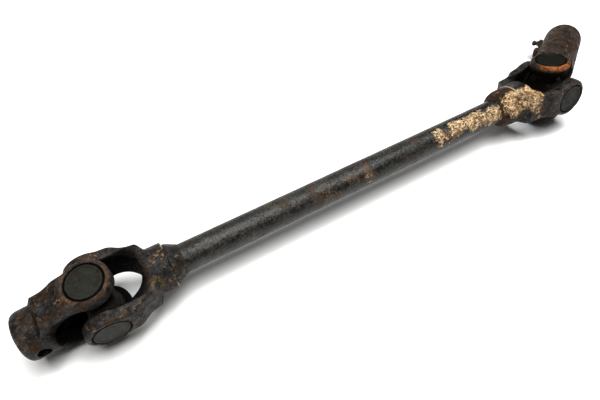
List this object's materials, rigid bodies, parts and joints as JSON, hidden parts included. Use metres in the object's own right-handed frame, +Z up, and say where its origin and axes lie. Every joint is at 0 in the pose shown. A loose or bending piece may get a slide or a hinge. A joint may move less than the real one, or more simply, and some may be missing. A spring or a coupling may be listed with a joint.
{
  "type": "universal joint shaft",
  "caption": "Round steel shaft with a forged cross joint at each end; the outer yokes carry round bored hubs that clamp or slide onto neighbouring shafts.",
  "frame": {"origin": "on the resting surface, under the middle of the bounding box of the whole object in its rest pose", "axes": "+X along the shaft from the short-hub joint to the long-hub joint, +Z up from the surface, +Y to the back"},
  "size_m": [0.5458, 0.0954, 0.0578],
  "materials": {
    "shaft": "worn satin black paint over steel, rust specks, a flaked tan patch near the right joint",
    "yoke": "forged steel, dark scale with brown rust",
    "weld": "weld metal, dark and rusted",
    "cup": "dull grey bearing steel",
    "needle": "ground bearing steel",
    "cross": "dark hardened steel, greased",
    "seal": "black rubber",
    "nipple": "dull plated steel, dirty"
  },
  "bodies": {
    "shaft": {"shaft": "shaft", "left_shaft_yoke": "yoke", "left_weld": "weld", "left_front_cup": "cup", "left_front_needles": "needle", "left_front_seal": "seal", "left_back_cup": "cup", "left_back_needles": "needle", "left_back_seal": "seal", "right_shaft_yoke": "yoke", "right_weld": "weld", "right_front_cup": "cup", "right_front_needles": "needle", "right_front_seal": "seal", "right_back_cup": "cup", "right_back_needles": "needle", "right_back_seal": "seal"},
    "left_cross": {"left_cross": "cross"},
    "left_end": {"left_end_yoke": "yoke", "left_top_cup": "cup", "left_top_needles": "needle", "left_top_seal": "seal", "left_bottom_cup": "cup", "left_bottom_needles": "needle", "left_bottom_seal": "seal"},
    "right_cross": {"right_cross": "cross"},
    "right_end": {"right_end_yoke": "yoke", "grease_nipple": "nipple", "right_top_cup": "cup", "right_top_needles": "needle", "right_top_seal": "seal", "right_bottom_cup": "cup", "right_bottom_needles": "needle", "right_bottom_seal": "seal"}
  },
  "joints": [
    {"name": "left_cross_hinge", "type": "hinge", "parent": "shaft", "child": "left_cross", "pos_m": [-0.22239, -0.01901, 0.02916], "axis": [0, -0.9945, -0.1045], "range_deg": [-38, 32]},
    {"name": "left_end_hinge", "type": "hinge", "parent": "left_cross", "child": "left_end", "pos_m": [-0.22239, -0.01901, 0.02916], "axis": [-0.0523, -0.1044, 0.9932], "range_deg": [-36.5, 33.5]},
    {"name": "right_cross_hinge", "type": "hinge", "parent": "shaft", "child": "right_cross", "pos_m": [0.17761, -0.01901, 0.02916], "axis": [0, -0.9799, 0.1994], "range_deg": [-35, 35]},
    {"name": "right_end_hinge", "type": "hinge", "parent": "right_cross", "child": "right_end", "pos_m": [0.17761, -0.01901, 0.02916], "axis": [0, 0.1994, 0.9799], "range_deg": [-66, 4]}
  ]
}
